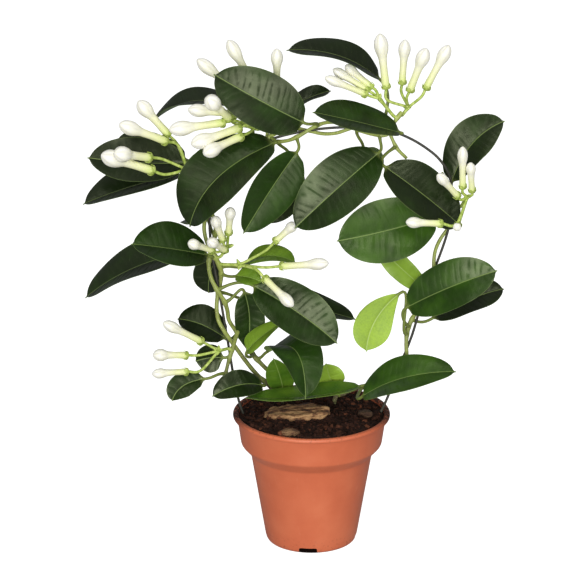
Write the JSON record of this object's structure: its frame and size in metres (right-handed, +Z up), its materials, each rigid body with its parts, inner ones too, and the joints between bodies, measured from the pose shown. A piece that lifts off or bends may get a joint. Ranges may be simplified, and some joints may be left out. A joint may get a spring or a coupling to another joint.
{
  "type": "potted climbing plant",
  "caption": "Potted Madagascar jasmine: twining vines on a wire hoop in a terracotta-coloured plastic nursery pot, with glossy leaves and sprays of waxy white buds.",
  "frame": {"origin": "centre of the pot's foot, at the level of the surface that it stands on", "axes": "+Z up; the hoop stands in the XZ plane, with its higher shoulder towards +X; the pictured front faces -Y"},
  "size_m": [0.3185, 0.1265, 0.3981],
  "materials": {
    "pot_plastic": "satin",
    "compost": "matte",
    "bark": "matte",
    "coated_wire": "satin",
    "vine": "satin",
    "leaf": "glossy",
    "young_leaf": "glossy",
    "bud": "satin"
  },
  "bodies": {
    "root": {"pot": "pot_plastic", "soil": "compost", "bark_1": "bark", "bark_2": "bark", "bark_3": "bark", "hoop": "coated_wire", "vine_left": "vine", "vine_left_second": "vine", "vine_right": "vine", "leaf_01": "leaf", "leaf_02": "leaf", "leaf_03": "leaf", "leaf_04": "leaf", "leaf_05": "leaf", "leaf_06": "leaf", "leaf_07": "leaf", "leaf_08": "leaf", "leaf_09": "leaf", "leaf_10": "leaf", "leaf_11": "leaf", "leaf_12": "leaf", "leaf_13": "leaf", "leaf_14": "leaf", "leaf_15": "leaf", "leaf_16": "leaf", "leaf_17": "leaf", "leaf_18": "leaf", "leaf_19": "leaf", "leaf_20": "young_leaf", "leaf_21": "young_leaf", "leaf_22": "leaf", "leaf_23": "young_leaf", "leaf_24": "leaf", "leaf_25": "leaf", "leaf_26": "leaf", "leaf_27": "leaf", "leaf_28": "leaf", "leaf_29": "leaf", "leaf_30": "young_leaf", "leaf_31": "young_leaf", "leaf_32": "leaf", "leaf_33": "leaf", "leaf_34": "leaf", "leaf_35": "young_leaf", "leaf_36": "young_leaf", "leaf_37": "leaf", "leaf_38": "leaf", "leaf_39": "leaf", "leaf_40": "leaf", "leaf_41": "leaf", "bud_spray_1": "bud", "bud_spray_2": "bud", "bud_spray_3": "bud", "bud_spray_4": "bud", "bud_spray_5": "bud", "bud_spray_6": "bud", "bud_spray_7": "bud", "bud_spray_8": "bud", "bud_spray_9": "bud"}
  },
  "joints": []
}
